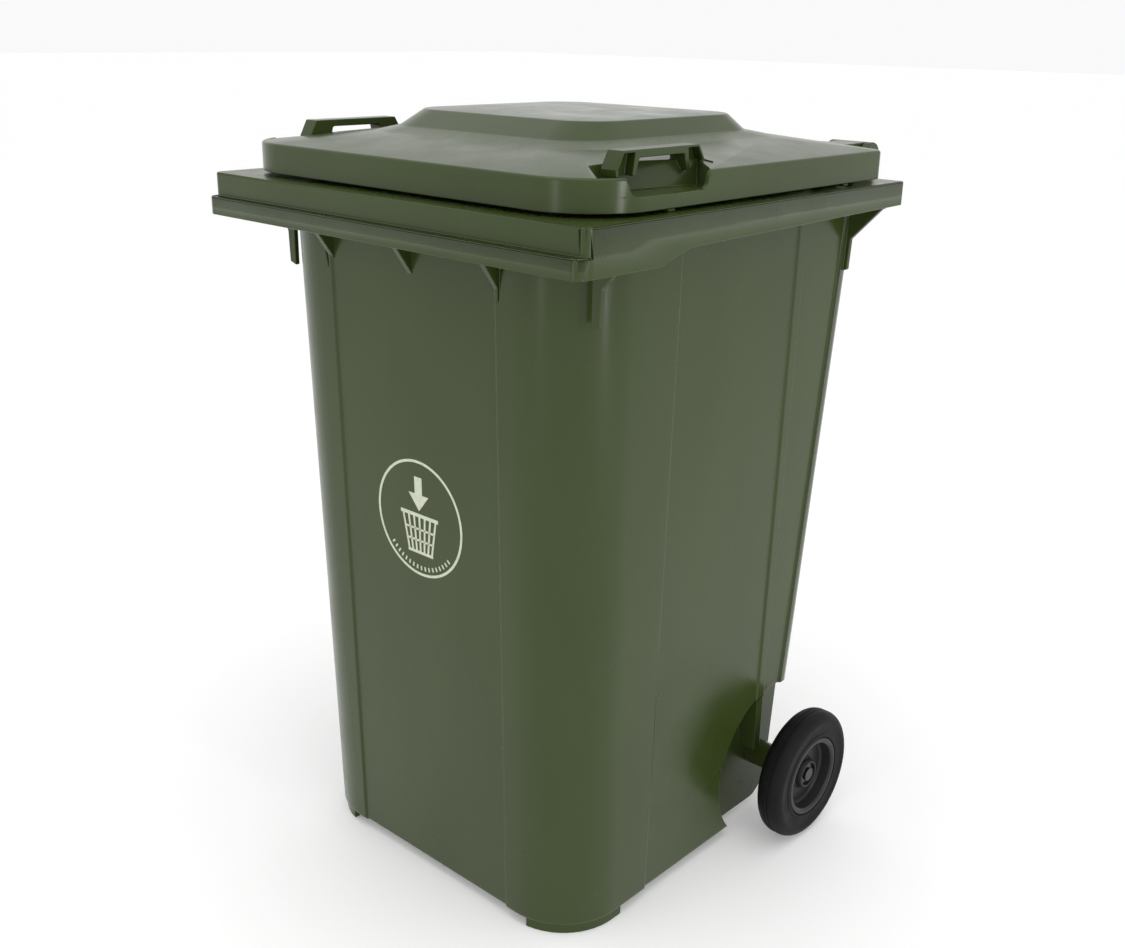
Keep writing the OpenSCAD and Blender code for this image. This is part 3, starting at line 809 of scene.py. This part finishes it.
def band(bm, radius, line):
    """The round band at the sign's edge."""
    for r in (radius, radius - line):
        bmesh.ops.create_circle(bm, segments=96, radius=r)
    bmesh.ops.rotate(bm, cent=(0, 0, 0), matrix=Matrix.Rotation(pi / 2, 3, "X"), verts=bm.verts)
    draw_out(bm, bmesh.ops.bridge_loops(bm, edges=bm.edges)["faces"], (0, -SIGN_T, 0))


def basket(bm):
    """A tapered basket: rim, bottom, upright slats and two cross slats."""
    rim_low, floor_top, half_line = 2, -46, 1.6
    for x0, x1, z0, z1 in ((-36, 36, rim_low, 7), (-24, 24, -50, floor_top)):
        flat_shape(bm, [(x0, z0), (x1, z0), (x1, z1), (x0, z1)])
    slats = 6
    for k in range(slats + 1):
        share = k / slats * 2 - 1
        top, low = share * 31, share * 22
        flat_shape(bm, [(low - half_line, floor_top), (low + half_line, floor_top),
                        (top + half_line, rim_low), (top - half_line, rim_low)])
    for z, half in ((-15, 27), (-31, 24.5)):
        flat_shape(bm, [(-half, z - 1.4), (half, z - 1.4), (half, z + 1.4), (-half, z + 1.4)])


def arrow(bm):
    """An arrow that points down into the basket."""
    flat_shape(bm, [(-7, 34), (0, 34), (7, 34), (7, 58), (-7, 58)])
    flat_shape(bm, [(0, 11), (19, 34), (-19, 34)])


def short_bars(bm, radius):
    """Short bars along the lower arc, inside the band."""
    count, apart, half = 17, 6.2, 0.018
    out, inn = radius - 8, radius - 14
    for k in range(count):
        turn = radians(-90 + (k - count // 2) * apart)
        corners = ((inn, turn - half), (out, turn - half), (out, turn + half), (inn, turn + half))
        flat_shape(bm, [(r * cos(a), r * sin(a)) for r, a in corners])


def make_sign():
    radius = (decal_high.x - decal_low.x) / 2
    bm = bmesh.new()
    band(bm, radius, 3.6)
    basket(bm)
    arrow(bm)
    short_bars(bm, radius)
    lean = atan((TOP_FRONT - BASE_FRONT) / (RIM_Z - BASE_Z))
    bmesh.ops.rotate(bm, cent=(0, 0, 0), matrix=Matrix.Rotation(lean, 3, "X"), verts=bm.verts)
    centre_z = (decal_low.z + decal_high.z) / 2
    face_y = -taper(BASE_FRONT, TOP_FRONT, centre_z) + PANEL_DEPTH
    bmesh.ops.translate(bm, vec=(0, face_y, centre_z), verts=bm.verts)
    place(new_mesh("sign_print", bm), "bin", ink, ["decal"])


# ---- Small parts that keep their CAD shape ----

def finish_cad_nodes():
    """Gives the pieces that keep their CAD shape their materials."""
    finishes = {"axle": steel, "axle_washer": steel, "axle_clip": steel, "hinge_pin": pin_plastic,
                "wheel_bush": bush_plastic}
    for name, node in frame["nodes"].items():
        stem = name.removesuffix("_left").removesuffix("_right")
        if stem in finishes:
            node.data.materials.clear()
            node.data.materials.append(finishes[stem])


# ---- Stage, light and camera ----

FLOOR_HALF, FLOOR_GREY, FLOOR_GLOW = 40, 0.88, 0.15
WHITE = (1, 1, 1, 1)
SKY_STRENGTH = 0.95
SOFTBOXES = (  # name, spot, aim, size, power
    ("over", (0.3, -0.6, 3.4), (0, 0, 0.6), (3.0, 2.4), 22),
    ("front strip", (0.3, -3.4, 1.0), (0.2, 0, 0.8), (0.2, 1.9), 6),
    ("side strip", (3.4, -0.15, 1.0), (0.2, -0.2, 0.8), (0.22, 1.9), 17),
)
CAMERA_TURN, CAMERA_RISE, CAMERA_ROLL = 42.05, 19.29, 1.07
CAMERA_SPOT = (1182.4, -1294.8 + middle_y, 1160.8)
SENSOR, LENS = 36, 41.16


def make_stage():
    bm = bmesh.new()
    bmesh.ops.create_grid(bm, x_segments=1, y_segments=1, size=FLOOR_HALF)
    mesh = bpy.data.meshes.new("floor")
    bm.to_mesh(mesh)
    bm.free()
    floor = bpy.data.objects.new("floor", mesh)
    bpy.context.scene.collection.objects.link(floor)
    paint, _, surface = material("pale_floor", Roughness=0.8)
    surface.inputs["Base Color"].default_value = (FLOOR_GREY, FLOOR_GREY, FLOOR_GREY, 1)
    # Lit from below a little, as a light table is
    surface.inputs["Emission Color"].default_value = WHITE
    surface.inputs["Emission Strength"].default_value = FLOOR_GLOW
    mesh.materials.append(paint)


def softbox(name, spot, aim, size, power):
    """A rectangular area light at spot that looks at aim."""
    light = bpy.data.lights.new(name, "AREA")
    light.shape = "RECTANGLE"
    light.size, light.size_y = size
    light.energy = power
    lamp = bpy.data.objects.new(name, light)
    lamp.location = spot
    lamp.rotation_euler = (Vector(aim) - Vector(spot)).to_track_quat("-Z", "Y").to_euler()
    bpy.context.scene.collection.objects.link(lamp)


def make_light():
    world = bpy.data.worlds.new("studio")
    world.use_nodes = True
    sky = world.node_tree.nodes["Background"]
    sky.inputs["Color"].default_value = WHITE
    sky.inputs["Strength"].default_value = SKY_STRENGTH
    bpy.context.scene.world = world
    for settings in SOFTBOXES:
        softbox(*settings)
    bpy.context.scene.view_settings.view_transform = "Standard"


def make_camera():
    turn, rise, roll = radians(CAMERA_TURN), radians(CAMERA_RISE), radians(CAMERA_ROLL)
    back = Vector((sin(turn) * cos(rise), -cos(turn) * cos(rise), sin(rise)))
    right = (-back).cross(Vector((0, 0, 1))).normalized()
    up = back.cross(right)
    right, up = cos(roll) * right + sin(roll) * up, cos(roll) * up - sin(roll) * right
    data = bpy.data.cameras.new("camera")
    data.sensor_width, data.lens = SENSOR, LENS
    camera = bpy.data.objects.new("camera", data)
    spot = Matrix.Translation(Vector(CAMERA_SPOT) * MM)
    camera.matrix_world = spot @ Matrix((right, up, back)).transposed().to_4x4()
    bpy.context.scene.collection.objects.link(camera)
    bpy.context.scene.camera = camera


make_camera()
make_stage()
make_light()
make_body()
make_lid()
for side, sign in (("left", -1), ("right", 1)):
    make_wheel(side, sign)
make_sign()
finish_cad_nodes()
